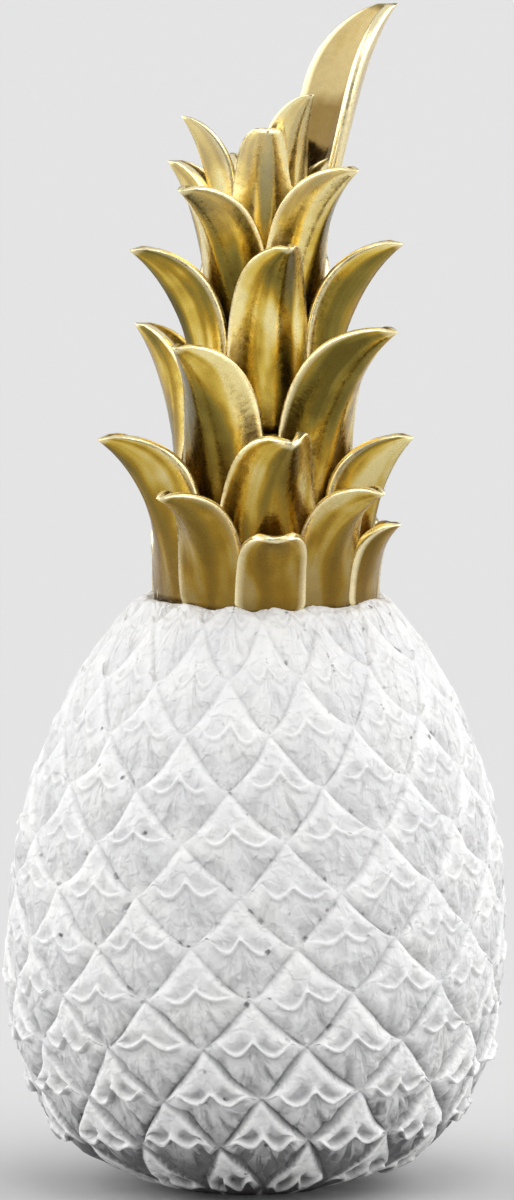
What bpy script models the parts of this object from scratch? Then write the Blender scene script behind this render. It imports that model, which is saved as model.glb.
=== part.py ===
"""A decorative pineapple: a scaly fruit body with a crown of curled leaves on top."""
import math

import bmesh
import bpy
from mathutils import Vector
from mathutils.geometry import delaunay_2d_cdt

MM = 0.001

# Overall placing, in millimetres: the foot centre is the origin, +Z is up and -Y is the front
BODY_LEAN = 0.0193
CROWN_AXIS_X = 2.5
SEAT_HEIGHT = 111.6

# Turned form of the fruit over the scale lips: height and radius, with one ring beyond each flat
BODY_PROFILE = (
    (-9.0, 5.0),
    (0.0, 15.2),
    (1.9, 21.8),
    (3.8, 27.1),
    (6.1, 31.8),
    (9.5, 36.4),
    (13.7, 40.0),
    (20.9, 43.6),
    (30.4, 46.4),
    (41.8, 47.7),
    (53.2, 47.6),
    (64.6, 46.5),
    (76.0, 44.1),
    (85.5, 41.0),
    (95.0, 36.6),
    (102.6, 32.0),
    (108.3, 27.6),
    (112.5, 24.0),
    (126.0, 10.0),
)

# Two families of spiral grooves cross and leave diamond-shaped scales between them
LEFT_SPIRALS = 14
RIGHT_SPIRALS = 15
UP_TURN = 10.77
UP_RISE = 10.12
DOWN_TURN = (360.0 - LEFT_SPIRALS * UP_TURN) / RIGHT_SPIRALS
DOWN_FALL = LEFT_SPIRALS * UP_RISE / RIGHT_SPIRALS
FIRST_TURN = -3.0
FIRST_HEIGHT = 51.9
LATTICE_LOW = -8.0
LATTICE_HIGH = 122.0

# One scale, across and up its diamond from -1 to 1, then height: a rim set in from the grooves, a raised
# lip of two lobes with a peak between them, and the step under the lobes
SCALE_CORNERS = ((0.0, 1.0), (-1.0, 0.0), (0.0, -1.0), (1.0, 0.0))
SCALE_POINTS = (
    (0.0, 0.78, 0.66),
    (-0.8, 0.0, 0.62),
    (0.8, 0.0, 0.62),
    (-0.42, -0.42, 0.62),
    (0.42, -0.42, 0.62),
    (0.0, -0.78, 0.52),
    (-0.38, -0.08, 1.0),
    (0.38, -0.08, 1.0),
    (0.0, 0.06, 0.95),
    (-0.3, -0.22, 0.72),
    (0.3, -0.22, 0.72),
)
SCALE_RIM = (0, 1, 3, 5, 4, 2, 0)
SCALE_LIP = (1, 6, 8, 7, 2)
GROOVE_DEPTH_LOW = 2.7
GROOVE_DEPTH_HIGH = 1.8
RELIEF_START = 0.0
RELIEF_FULL = 5.0

# Turned core of the crown: height and radius
STEM_PROFILE = (
    (111.9, 19.6),
    (128.0, 17.0),
    (148.0, 12.6),
    (170.0, 8.8),
    (196.0, 3.4),
)
STEM_SIDES = 12

# Leaves in rings, from the neck up: root height and radius, half breadth, how pointed the tip is, and then
# for each leaf its azimuth from the front, how far its tip swings round, tip radius and tip height
LEAF_RINGS = (
    (112.2, 22.3, 7.2, 0.3, (
        (3.0, 2.0, 29.0, 126.2),
    )),
    (112.2, 22.3, 6.2, 0.8, (
        (62.0, 0.0, 29.4, 127.8),
        (124.0, 5.0, 27.0, 126.4),
        (180.0, -8.0, 29.4, 128.5),
        (-122.0, 0.0, 24.5, 126.0),
    )),
    (112.4, 21.9, 8.4, 0.7, (
        (-28.0, -4.0, 37.6, 134.4),
        (34.0, 0.0, 40.0, 135.4),
        (92.0, 0.0, 25.0, 126.5),
        (152.0, 5.0, 36.0, 134.5),
        (-150.0, -5.0, 37.0, 133.4),
    )),
    (112.4, 20.9, 8.0, 0.7, (
        (-94.0, 0.0, 20.4, 126.0),
    )),
    (112.6, 21.0, 12.0, 0.45, (
        (1.0, 9.0, 32.6, 144.6),
        (184.0, -8.0, 30.0, 143.0),
    )),
    (112.6, 21.0, 12.0, 0.8, (
        (-64.0, 0.0, 35.0, 144.0),
        (66.0, 0.0, 31.0, 144.2),
        (124.0, 6.0, 26.0, 136.5),
        (-124.0, 0.0, 25.0, 136.5),
    )),
    (126.0, 16.8, 11.4, 0.75, (
        (-33.0, 0.0, 31.2, 162.2),
        (39.0, 0.0, 39.6, 165.6),
        (111.0, 5.0, 23.0, 160.0),
        (183.0, -8.0, 30.0, 163.0),
        (-103.0, 0.0, 25.4, 164.2),
    )),
    (145.0, 13.4, 10.0, 0.7, (
        (-67.0, 0.0, 27.6, 179.4),
        (3.0, 8.0, 26.4, 181.0),
        (73.0, 0.0, 27.6, 180.4),
        (149.0, 6.0, 24.0, 177.0),
        (-143.0, -6.0, 20.6, 175.5),
    )),
    (161.0, 11.0, 9.6, 0.7, (
        (-36.0, 0.0, 27.2, 191.4),
        (38.0, 0.0, 28.6, 195.2),
        (110.0, 0.0, 16.0, 196.0),
        (182.0, 8.0, 20.0, 193.0),
        (-102.0, 0.0, 18.8, 195.2),
    )),
    (172.0, 10.5, 8.7, 0.45, (
        (3.0, 0.0, 15.0, 202.4),
    )),
    (171.0, 9.0, 7.0, 0.8, (
        (-76.0, 0.0, 16.2, 204.4),
        (146.0, 0.0, 12.5, 199.5),
        (-146.0, 0.0, 11.0, 196.5),
    )),
    (176.0, 8.5, 7.2, 0.8, (
        (31.0, 0.0, 17.8, 209.2),
    )),
)
FLARE_POWER = 2.2
TIP_WRAP = 0.9
TIP_FOLD = 0.35
FLAT_LENGTH = 12.0
FULL_LENGTH = 24.0
SLIM_LENGTH = 34.0
ROOT_NARROWING = 0.35

# The tall leaf at the top is a deeper gutter: azimuth and swing, root height and radius, half breadth, bluntness,
# tip radius and height, flare power, wrap and fold at the tip, and narrowing at the root
TALL_LEAF = (115.0, 0.0, 178.0, 10.0, 12.5, 0.8, 28.0, 224.6, 1.05, 0.5, 0.3, 0.5)

# Form of a single leaf
CURL_SHARE = 0.15
CURL_POWER = 9.0
TWIST_PER_SWING = 1.0
WIDEST_AT = 0.6
ROOT_WRAP = 0.75
ROOT_THICKNESS = 2.4
TIP_THICKNESS = 1.8
TIP_TAPER = 0.5
LEAF_PARTS = (0.0, 0.42, 0.72, 0.9, 0.995)
OUTER_ACROSS = (-1.0, -0.5, 0.0, 0.5, 1.0)
INNER_ACROSS = (0.8, 0.0, -0.8)


def smooth_curve(points, value):
    """Read a smooth curve through the points at a value."""
    last = len(points) - 1
    step = 0
    while step < last - 1 and value > points[step + 1][0]:
        step += 1
    low, high = points[step], points[step + 1]
    before = points[max(step - 1, 0)]
    after = points[min(step + 2, last)]
    span = high[0] - low[0]
    slope_low = (high[1] - before[1]) / (high[0] - before[0]) * span
    slope_high = (after[1] - low[1]) / (after[0] - low[0]) * span
    part = (value - low[0]) / span
    return (
        low[1] * (2 * part**3 - 3 * part**2 + 1)
        + slope_low * (part**3 - 2 * part**2 + part)
        + high[1] * (3 * part**2 - 2 * part**3)
        + slope_high * (part**3 - part**2)
    )


def ease(value, start, end):
    """Go from 0 at the start to 1 at the end without a corner."""
    part = min(max((value - start) / (end - start), 0.0), 1.0)
    return part * part * (3.0 - 2.0 * part)


def around(azimuth, radius, height, axis_x):
    """Place a point at an azimuth from the front, counted to the right."""
    angle = math.radians(azimuth)
    return Vector((axis_x + radius * math.sin(angle), -radius * math.cos(angle), height)) * MM


def body_point(turn, height, relief):
    """Place a point of the fruit, with its relief along the surface normal."""
    depth = GROOVE_DEPTH_LOW + (GROOVE_DEPTH_HIGH - GROOVE_DEPTH_LOW) * ease(height, 20.0, 110.0)
    depth *= ease(height, RELIEF_START, RELIEF_FULL)
    slope = smooth_curve(BODY_PROFILE, height + 0.5) - smooth_curve(BODY_PROFILE, height - 0.5)
    length = math.hypot(1.0, slope)
    offset = (relief - 1.0) * depth
    radius = smooth_curve(BODY_PROFILE, height) + offset / length
    level = height - offset * slope / length
    return around(turn, radius, level, BODY_LEAN * level)


def scale_pattern():
    """Triangulate one diamond between its corners, along its rim and its lip."""
    points = [(across, up, 0.0) for across, up in SCALE_CORNERS] + list(SCALE_POINTS)
    corners = len(SCALE_CORNERS)
    edges = [(index, (index + 1) % corners) for index in range(corners)]
    for path in (SCALE_RIM, SCALE_LIP):
        edges += [(corners + low, corners + high) for low, high in zip(path, path[1:])]
    flat = [Vector((across, up)) for across, up, _ in points]
    faces = delaunay_2d_cdt(flat, edges, [], 1, 1e-5)[2]
    return points, faces


def build_body(collection, material):
    """Cover the fruit with scales on the spiral lattice, and cut it flat at foot and seat."""
    points, faces = scale_pattern()
    mesh = bmesh.new()
    placed = {}
    for column in range(LEFT_SPIRALS):
        first_row = math.floor((FIRST_HEIGHT + column * UP_RISE - LATTICE_HIGH) / DOWN_FALL)
        last_row = math.ceil((FIRST_HEIGHT + column * UP_RISE - LATTICE_LOW) / DOWN_FALL)
        for row in range(first_row, last_row + 1):
            ring = []
            for across, up, relief in points:
                along_up = column + (across + up) / 2.0
                along_down = row + (across - up) / 2.0
                wraps = math.floor(along_up / LEFT_SPIRALS + 1e-6)
                along_up -= wraps * LEFT_SPIRALS
                along_down -= wraps * RIGHT_SPIRALS
                key = (round(along_up * 1000), round(along_down * 1000))
                if key not in placed:
                    turn = FIRST_TURN + along_up * UP_TURN + along_down * DOWN_TURN
                    height = FIRST_HEIGHT + along_up * UP_RISE - along_down * DOWN_FALL
                    placed[key] = mesh.verts.new(body_point(turn, height, relief))
                ring.append(placed[key])
            for face in faces:
                mesh.faces.new([ring[corner] for corner in face])
    cut_flat(mesh, 0.0, -1.0)
    cut_flat(mesh, SEAT_HEIGHT, 1.0)
    return add_object("fruit_body", mesh, collection, material)


def cut_flat(mesh, height, side):
    """Cut the mesh at a height, drop what is beyond it and close it with a flat face."""
    geometry = mesh.verts[:] + mesh.edges[:] + mesh.faces[:]
    bmesh.ops.bisect_plane(
        mesh,
        geom=geometry,
        plane_co=(0.0, 0.0, height * MM),
        plane_no=(0.0, 0.0, side),
        clear_outer=True,
    )
    open_edges = [edge for edge in mesh.edges if edge.is_boundary]
    near = [edge for edge in open_edges if all(abs(vert.co.z - height * MM) < 1e-6 for vert in edge.verts)]
    bmesh.ops.holes_fill(mesh, edges=near)


def root_narrowing(length):
    """How much narrower a leaf is at its root: short leaves hardly narrow."""
    return ROOT_NARROWING * ease(length, FLAT_LENGTH, SLIM_LENGTH)


def leaf_list():
    """List every leaf of the crown with its sizes."""
    leaves = []
    for root_z, root_r, breadth, point, tips in LEAF_RINGS:
        for azimuth, swing, tip_r, tip_z in tips:
            sizes = (azimuth, swing, root_z, root_r, breadth, point, tip_r, tip_z)
            form = ease(tip_z - root_z, FLAT_LENGTH, FULL_LENGTH)
            curve = (FLARE_POWER, TIP_WRAP * (0.5 + 0.5 * form), TIP_FOLD * form)
            leaves.append((*sizes, *curve, root_narrowing(tip_z - root_z)))
    leaves.append(TALL_LEAF)
    return leaves


def leaf_breadth(breadth, point, narrowing, part):
    """Half breadth of a leaf at a part of its length."""
    if part < WIDEST_AT:
        return breadth * (1.0 - narrowing * ((WIDEST_AT - part) / WIDEST_AT) ** 1.5)
    beyond = (part - WIDEST_AT) / (1.0 - WIDEST_AT)
    return breadth * max(1.0 - beyond**2.5, 0.0) ** point


def leaf_point(leaf, part, across, inside):
    """Place a point of a leaf: part of its length, across its breadth and how far in from its face."""
    azimuth, swing, root_z, root_r, breadth, point = leaf[:6]
    tip_r, tip_z, power, tip_wrap, tip_fold, narrowing = leaf[6:]
    flare = (1.0 - CURL_SHARE) * part**power + CURL_SHARE * part**CURL_POWER
    steep = (1.0 - CURL_SHARE) * power * part ** (power - 1.0)
    steep += CURL_SHARE * CURL_POWER * part ** (CURL_POWER - 1.0)
    radius = root_r + (tip_r - root_r) * flare
    height = root_z + (tip_z - root_z) * part
    lean = (tip_r - root_r) * steep
    length = math.hypot(lean, tip_z - root_z)
    out_r = (tip_z - root_z) / length
    out_z = -lean / length
    half = leaf_breadth(breadth, point, narrowing, part)
    grown = ease(part, 0.1, 0.8)
    wrap = min(half / radius, ROOT_WRAP)
    wrap += (tip_wrap - wrap) * grown
    twist = math.radians(TWIST_PER_SWING * swing) * part
    side = (across > 0.0) - (across < 0.0)
    start = twist + tip_fold * grown * side
    end = start + wrap * across
    thickness = ROOT_THICKNESS + (TIP_THICKNESS - ROOT_THICKNESS) * part
    depth = inside * min(thickness, TIP_TAPER * half)
    sideways = half / wrap * (math.sin(end) - math.sin(start)) - depth * math.sin(end)
    inward = half / wrap * (math.cos(start) - math.cos(end)) + depth * math.cos(end)
    turned = azimuth + swing * part**2
    angle = math.radians(turned)
    spot = around(turned, radius - inward * out_r, height - inward * out_z, CROWN_AXIS_X)
    return spot + Vector((math.cos(angle), math.sin(angle), 0.0)) * (sideways * MM)


def leaf_mesh(leaf):
    """Loft one leaf through its stations and close both ends."""
    mesh = bmesh.new()
    rings = []
    for part in LEAF_PARTS:
        ring = [mesh.verts.new(leaf_point(leaf, part, across, 0.0)) for across in OUTER_ACROSS]
        ring += [mesh.verts.new(leaf_point(leaf, part, across, 1.0)) for across in INNER_ACROSS]
        rings.append(ring)
    for low, high in zip(rings, rings[1:]):
        for corner in range(len(low)):
            following = (corner + 1) % len(low)
            mesh.faces.new((low[corner], low[following], high[following], high[corner]))
    mesh.faces.new(rings[0][::-1])
    mesh.faces.new(rings[-1])
    return mesh


def build_crown(collection, tools, material):
    """Turn the stem and unite every leaf with it."""
    mesh = bmesh.new()
    profile = [(STEM_PROFILE[0][0], 0.0)] + list(STEM_PROFILE) + [(STEM_PROFILE[-1][0], 0.0)]
    verts = [mesh.verts.new((radius * MM, 0.0, height * MM)) for height, radius in profile]
    for low, high in zip(verts, verts[1:]):
        mesh.edges.new((low, high))
    crown = add_object("leaf_crown", mesh, collection, material)
    crown.location.x = CROWN_AXIS_X * MM
    turned = crown.modifiers.new("turned", "SCREW")
    turned.steps = STEM_SIDES
    turned.render_steps = STEM_SIDES
    turned.use_merge_vertices = True
    turned.merge_threshold = 0.00001
    turned.use_normal_calculate = True
    for index, leaf in enumerate(leaf_list()):
        blade = add_object(f"leaf_{index:02d}", leaf_mesh(leaf), tools, None)
        blade.hide_render = True
        blade.display_type = "WIRE"
    united = crown.modifiers.new("leaves", "BOOLEAN")
    united.operation = "UNION"
    united.solver = "EXACT"
    united.operand_type = "COLLECTION"
    united.collection = tools
    return crown


def add_object(name, mesh, collection, material):
    """Make an object from a working mesh, with its faces turned outwards."""
    bmesh.ops.recalc_face_normals(mesh, faces=mesh.faces)
    data = bpy.data.meshes.new(name)
    mesh.to_mesh(data)
    mesh.free()
    item = bpy.data.objects.new(name, data)
    if material:
        data.materials.append(material)
    collection.objects.link(item)
    return item


def make_material(name, colour, metallic, roughness):
    """Make a plain material."""
    material = bpy.data.materials.new(name)
    material.use_nodes = True
    shader = material.node_tree.nodes["Principled BSDF"]
    shader.inputs["Base Color"].default_value = (*colour, 1.0)
    shader.inputs["Metallic"].default_value = metallic
    shader.inputs["Roughness"].default_value = roughness
    return material


def main():
    """Build the pineapple."""
    for item in list(bpy.data.objects):
        bpy.data.objects.remove(item)
    pineapple = bpy.data.collections.new("pineapple")
    tools = bpy.data.collections.new("crown_leaves")
    bpy.context.scene.collection.children.link(pineapple)
    bpy.context.scene.collection.children.link(tools)
    white = make_material("white_resin", (0.83, 0.83, 0.82), 0.0, 0.7)
    gold = make_material("antique_gold", (0.55, 0.36, 0.12), 0.9, 0.35)
    build_body(pineapple, white)
    build_crown(pineapple, tools, gold)


main()
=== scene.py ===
"""The looks of a decorative pineapple: a matte white scaly fruit under an antique gold crown of leaves."""
import math
from collections import namedtuple

import bmesh
import bpy
import numpy as np
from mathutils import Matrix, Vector, noise

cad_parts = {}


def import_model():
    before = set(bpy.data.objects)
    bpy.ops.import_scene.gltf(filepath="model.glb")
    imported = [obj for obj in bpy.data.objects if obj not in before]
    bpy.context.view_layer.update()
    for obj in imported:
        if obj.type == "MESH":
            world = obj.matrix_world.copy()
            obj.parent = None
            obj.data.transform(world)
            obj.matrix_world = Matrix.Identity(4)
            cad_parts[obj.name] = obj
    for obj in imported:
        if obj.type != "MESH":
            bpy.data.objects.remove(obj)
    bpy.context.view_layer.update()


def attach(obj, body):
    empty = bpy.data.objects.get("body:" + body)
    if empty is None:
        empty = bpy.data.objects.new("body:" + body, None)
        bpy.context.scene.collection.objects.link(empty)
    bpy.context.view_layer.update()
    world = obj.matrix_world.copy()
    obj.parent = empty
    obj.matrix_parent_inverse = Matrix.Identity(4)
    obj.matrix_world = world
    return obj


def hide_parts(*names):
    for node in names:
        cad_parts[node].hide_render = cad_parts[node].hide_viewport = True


MM = 0.001
TINY = 1e-6

# Overall placing, in millimetres: the foot centre is the origin, +Z is up and -Y is the front
BODY_LEAN = 0.0193
CROWN_AXIS_X = 2.5
SEAT_HEIGHT = 111.6
SEAT_SLOPE = 0.04

# Turned form of the fruit over the scale lips: height and radius
BODY_PROFILE = (
    (-9.0, 5.0),
    (0.0, 15.2),
    (1.9, 21.8),
    (3.8, 27.1),
    (6.1, 31.8),
    (9.5, 36.4),
    (13.7, 40.0),
    (20.9, 43.6),
    (30.4, 46.4),
    (41.8, 47.7),
    (53.2, 47.6),
    (64.6, 46.5),
    (76.0, 44.1),
    (85.5, 41.0),
    (95.0, 36.6),
    (102.6, 32.0),
    (108.3, 27.6),
    (112.5, 24.0),
    (126.0, 10.0),
)
PROFILE_SPAN = (-13.0, 130.0)
PROFILE_STEP = 0.25

# Two families of spiral grooves cross and leave diamond-shaped scales between them
LEFT_SPIRALS = 14
RIGHT_SPIRALS = 15
UP_TURN = 10.77
UP_RISE = 10.12
DOWN_TURN = (360.0 - LEFT_SPIRALS * UP_TURN) / RIGHT_SPIRALS
DOWN_FALL = LEFT_SPIRALS * UP_RISE / RIGHT_SPIRALS
FIRST_TURN = -3.0
FIRST_HEIGHT = 51.9
SCALE_LOW = -3.5
SCALE_HIGH = 117.0

# Mesh of one scale: rows stand close beside its lip, and the middle row lies on it
LIP_ZONE = 0.27
LIP_ROWS = 7
MIDDLE_ROWS = 5
ROW_SEGMENTS = 27

# Vertices of neighbouring scales are joined where their places in the lattice round to the same key
JOIN_GRAIN = 1e5
JOIN_SPAN = 10**8
JOIN_START = 100.0
WRAP_SLACK = 1e-7

# Every scale has its own chances from -1 to 1: how far its lip is to the side, the lip's lobes, peak, tilt
# and drop, the arches over its right and left lobe, and its folds
Chance = namedtuple("Chance", "side lobe peak tilt drop right left folds")
CHANCE_SEED = 7

# Each kind of lumps is read from the noise at a place of its own
SEED_APART = (17.3, 5.1, 9.7)
LUMP_SEED = 1
GRAIN_SEED = 2
TURN_SEED = 3
LEVEL_SEED = 4
UNEVEN_SEED = 5

# Relief of the fruit, in millimetres, where it is crisp near the foot and where it is soft near the crown
GROOVE_DEPTH = (2.4, 0.85)
GROOVE_LEVELS = (8.0, 70.0)
SOFTENING = (4.0, 52.0)
BRACT_SLOPE = (0.7, 0.15)
LIP_STEP = (1.2, 0.35)
LIP_RIM = (1.2, 0.35)
HOLLOW_DEPTH = (1.4, 0.75)
BELLY_RISE = (0.6, 0.5)
WRINKLE_DEPTH = (0.5, 0.26)
SCALE_LIFT = 0.4
LIP_SET_BACK = 0.3
SCALE_SAG = 0.9
SAG_SKEW = 0.6
SAG_SPREAD = 0.35
SAG_FOOT = (2.0, 12.0)

# Unevenness of the casting, in millimetres, and how far it is held back on the lips
LUMP_DEPTH = 0.45
LUMP_SIZE = 3.6
GRAIN_DEPTH = 0.13
GRAIN_SIZE = 1.3
LIP_CALM = 0.7
LIP_CALM_SPREAD = 0.12
WARP = 0.9
WARP_SIZE = 9.0
WARP_FOOT = (0.0, 8.0)
WARP_NECK = (102.0, 111.0)
UNEVEN = 0.5
UNEVEN_SIZE = 14.0

# The relief is held back at the foot and at the neck: shares, and the heights between which it changes
FOOT_FADE = 3.5
FOOT_CALM = 0.45
FOOT_RISE = 20.0
NECK_CALM = 0.75
NECK_LEVELS = (80.0, 108.0)

# Form of a scale, across and up from -1 to 1: a broad ridge along its upper edges, then a hollow over each
# lobe of the lip, and a round belly below; the grooves are shallow where they cross
SIDE_CHANCE = 0.1
CROSSING_DEPTH = 0.3
CROSSING_SPREAD = 0.16
RIDGE_EDGE = 0.1
RIDGE_WIDTH = (0.3, 0.28)
RIDGE_SHARES = (0.78, 0.22)
WIDTH_CHANCE = 0.2
BELLY_EDGE = (0.4, 0.3)
BELLY_POWER = 2.2
BELLY_UP = (-0.35, 0.25)
BELLY_ACROSS = 0.4
LIFT_EDGE = 0.4

# The lip: two lobes that hang from a peak between them, with a raised rim and a step under it
LIP_PEAK = 0.22
PEAK_CHANCE = 0.06
LIP_TILT = 0.12
LOBE_CENTRE = 0.34
LOBE_CHANCE = 0.05
LOBE_DROP = 0.27
DROP_CHANCE = 0.07
LIP_FADE = 0.55
LIP_SPREAD = 0.06
LIP_HALF = ((0.6, 0.42), (0.85, 0.7))
RIM_CHANCE = 0.3
STEP_NEAR = 0.09
STEP_WIDER = 0.4
STEP_SIDES = (0.5, 0.8)
STEP_EDGE = 0.3

# The hollows over the lobes, under an arch along the ridge
HOLLOW_GAP = 0.04
HOLLOW_FLANK = 2.6
ARCH_HEIGHT = 0.95
ARCH_CHANCE = 0.25
HOLLOW_BRIM = (-0.04, 0.16)
HOLLOW_FLOOR = (0.02, 0.09)
HOLLOW_TOP = (0.1, 0.5)
HOLLOW_FADE = 0.65

# The folds: they fan out over the flanks of the belly from a place above the lip, in a quick and a slow wave
FAN_CENTRE = 0.2
FOLDS = 12.0
FOLDS_CHANCE = 2.0
FOLD_PHASE = 6.0
FOLD_SWEEP = 6.0
SLOW_SHARE = 0.6
SLOW_FOLDS = 5.0
SLOW_PHASE = 5.0
SLOW_SWEEP = 9.0
FOLD_BELOW = (0.1, 0.3)
FOLD_SLANT = 0.3
FOLD_SIDES = (0.1, 0.35)
FOLD_EDGE = 0.12

# Painted shade in the grooves, hollows and folds, under the lips and on the bellies, and a painted highlight
# on the lips and ridge crests
FOOT_LEVELS = (3.0, 22.0)
FOOT_BELLY_SHADE = 0.45
FOOT_SHADE = 0.5
SHADE_CALM = 0.75
GROOVE_SHADE = 0.14
FOOT_WIDER = 0.1
CROSSING_LESS_SHADE = 0.7
LIP_SHADE = (-0.06, 0.05)
HOLLOW_SHADE = 0.42
CORNER_SHADE = 0.6
CORNER_UP = (0.09, 0.05)
BELLY_SHADE = 0.45
BELLY_SHADE_FADE = 0.25
BELLY_SHADE_EDGE = (0.1, 0.7)
BELLY_SHADE_CALM = 0.6
FOLD_SHADE = 0.9
FOLD_BOTTOM = (0.2, 0.9)
FILM_SHADE = 0.15
HOLLOW_SHADE_FILM = 0.9
RIDGE_HIGHLIGHT = 0.8
RIDGE_CREST = 0.6
CREST_SPREAD = 0.15
HIGHLIGHT_CALM = 0.6

# Turned core of the crown: height and radius
STEM_PROFILE = (
    (111.9, 19.6),
    (128.0, 17.0),
    (148.0, 12.6),
    (170.0, 8.8),
    (196.0, 3.4),
)
STEM_SIDES = 64
STEM_STATIONS = 40

# Leaves in rings, from the neck up: root height and radius, half breadth, how pointed the tip is, and then
# for each leaf its azimuth from the front, how far its tip swings round, tip radius and tip height
LEAF_RINGS = (
    (112.2, 22.3, 7.2, 0.3, (
        (3.0, 2.0, 29.0, 126.2),
    )),
    (112.2, 22.3, 6.2, 0.8, (
        (62.0, 0.0, 29.4, 127.8),
        (124.0, 5.0, 27.0, 126.4),
        (180.0, -8.0, 29.4, 128.5),
        (-122.0, 0.0, 24.5, 126.0),
    )),
    (112.4, 21.9, 8.4, 0.7, (
        (-28.0, -4.0, 37.6, 134.4),
        (34.0, 0.0, 40.0, 135.4),
        (92.0, 0.0, 25.0, 126.5),
        (152.0, 5.0, 36.0, 134.5),
        (-150.0, -5.0, 37.0, 133.4),
    )),
    (112.4, 20.9, 8.0, 0.7, (
        (-94.0, 0.0, 20.4, 126.0),
    )),
    (112.6, 21.0, 12.0, 0.45, (
        (1.0, 9.0, 32.6, 144.6),
        (184.0, -8.0, 30.0, 143.0),
    )),
    (112.6, 21.0, 12.0, 0.8, (
        (-64.0, 0.0, 35.0, 144.0),
        (66.0, 0.0, 31.0, 144.2),
        (124.0, 6.0, 26.0, 136.5),
        (-124.0, 0.0, 25.0, 136.5),
    )),
    (126.0, 16.8, 11.4, 0.75, (
        (-33.0, 0.0, 31.2, 162.2),
        (39.0, 0.0, 39.6, 165.6),
        (111.0, 5.0, 23.0, 160.0),
        (183.0, -8.0, 30.0, 163.0),
        (-103.0, 0.0, 25.4, 164.2),
    )),
    (145.0, 13.4, 10.0, 0.7, (
        (-67.0, 0.0, 27.6, 179.4),
        (3.0, 8.0, 26.4, 181.0),
        (73.0, 0.0, 27.6, 180.4),
        (149.0, 6.0, 24.0, 177.0),
        (-143.0, -6.0, 20.6, 175.5),
    )),
    (161.0, 11.0, 9.6, 0.7, (
        (-36.0, 0.0, 27.2, 191.4),
        (38.0, 0.0, 28.6, 195.2),
        (110.0, 0.0, 16.0, 196.0),
        (182.0, 8.0, 20.0, 193.0),
        (-102.0, 0.0, 18.8, 195.2),
    )),
    (172.0, 10.5, 8.7, 0.45, (
        (3.0, 0.0, 15.0, 202.4),
    )),
    (171.0, 9.0, 7.0, 0.8, (
        (-76.0, 0.0, 16.2, 204.4),
        (146.0, 0.0, 12.5, 199.5),
        (-146.0, 0.0, 11.0, 196.5),
    )),
    (176.0, 8.5, 7.2, 0.8, (
        (31.0, 0.0, 17.8, 209.2),
    )),
)

# How the leaves of the rings flare, wrap and fold: the short ones are flatter and hardly narrow at the root
FLARE_POWER = 2.2
TIP_WRAP = 0.9
TIP_FOLD = 0.35
FLAT_LENGTH = 12.0
FULL_LENGTH = 24.0
SLIM_LENGTH = 34.0
ROOT_NARROWING = 0.35

# A leaf: azimuth and swing, root height and radius, half breadth, how pointed the tip is, tip radius and
# height, power of its flare, wrap and fold at the tip, and narrowing at the root
Leaf = namedtuple("Leaf", "azimuth swing root_z root_r breadth point tip_r tip_z power wrap fold narrowing")

# The tall leaf at the top is a deeper gutter
TALL_LEAF = Leaf(115.0, 0.0, 178.0, 10.0, 12.5, 0.8, 28.0, 224.6, 1.05, 0.5, 0.3, 0.5)

# The white of the fruit rises between the lowest leaves, and laps up to them in a wavy collar
NECK_ROOTS = 112.5
NECK_GAP = (0.7, 1.15)
NECK_BUMP = 1.4
NECK_BUMP_LEVEL = 113.0
NECK_BUMP_SPREAD = 2.2
COLLAR_RISE = 1.1
COLLAR_LEVEL = 113.9
COLLAR_SPREAD = 1.5
COLLAR_WAVES = 13.0
COLLAR_WAVE = 0.4
COLLAR_DRIFT = 2.0
COLLAR_DRIFTS = 3.0

# Form of a single leaf, along it from 0 at the root to 1 at the tip
HEEL_PART = 0.1
HEEL_ROUNDING = 0.12
NARROWING_POWER = 1.5
WIDEST_AT = 0.6
TIP_ROUNDING = 2.5
CURL_SHARE = 0.15
CURL_POWER = 9.0
GROWTH = (0.1, 0.8)
TWIST_PER_SWING = 1.0
ROOT_WRAP = 0.75
TIP_STATION = 0.997
STATION_POWER = 0.9
ROOT_THICKNESS = 2.4
TIP_THICKNESS = 1.8
TIP_TAPER = 0.5
LEAF_STATIONS = 30
LEAF_ACROSS = 17
FOLD_SOFTNESS = 0.08
BEAD_HEIGHT = 0.3
BEAD_AT = 0.92
BEAD_SPREAD = 0.07
RIM_WIDTH = (-1.7, -0.7)
TIP_ZONE = (0.965, 0.99)

# White resin: chalk with painted highlights on the ridges, and painted shade in the recesses that is darker
# near the foot. In this and the gold a noise is scale, detail and twist, a range is a value's low and high
# end and what they become, and heights are in metres
CHALK_TONES = (
    (0.35, (0.71, 0.71, 0.72)),
    (0.65, (0.78, 0.78, 0.77)),
)
HIGHLIGHT_WHITE = (0.94, 0.94, 0.93)
SHADE_GREY = (0.09, 0.09, 0.095)
SHADE_BY_HEIGHT = (
    (0.0, (0.8, 0.8, 0.8)),
    (0.02, (0.38, 0.38, 0.38)),
    (0.06, (0.2, 0.2, 0.2)),
    (0.1, (0.09, 0.09, 0.09)),
)
BRUSH_NOISE = (1.0, 2.0, 0.4)
PLASTER_NOISE = (480.0, 1.5, 0.6)
GRAIN_NOISE = (2500.0, 3.0)
BLOTCH_NOISE = (90.0, 4.0)
SHADE_RANGE = (0.03, 1.0, 0.0, 0.85)
BRUSH_RANGE = (0.4, 0.48, 1.0, 0.0)
CRACK_RANGE = (0.33, 0.42, 1.0, 0.0)
BELLY_RANGE = (-0.02, -0.25, 0.0, 1.0)
BRUSH_SHARE = 0.7
CRACK_SHARE = 0.3
PIT_SHADE_SHARE = 0.8
MOST_SHADE = 0.92
RESIN_ROUGHNESS = (0.3, 0.7, 0.5, 0.72)
BRUSH_BUMP = 0.85
GRAIN_BUMP = 0.05
PIT_BUMP = 0.4
WHITE_BUMP = 0.9

# Brush strokes run round and out from where the folds of a scale start; in the colour they are painted shade,
# darker towards the foot
STREAK_ROUND = 3.6
STREAK_OUT = 2.2
STREAK_APART = 40.0
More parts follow.
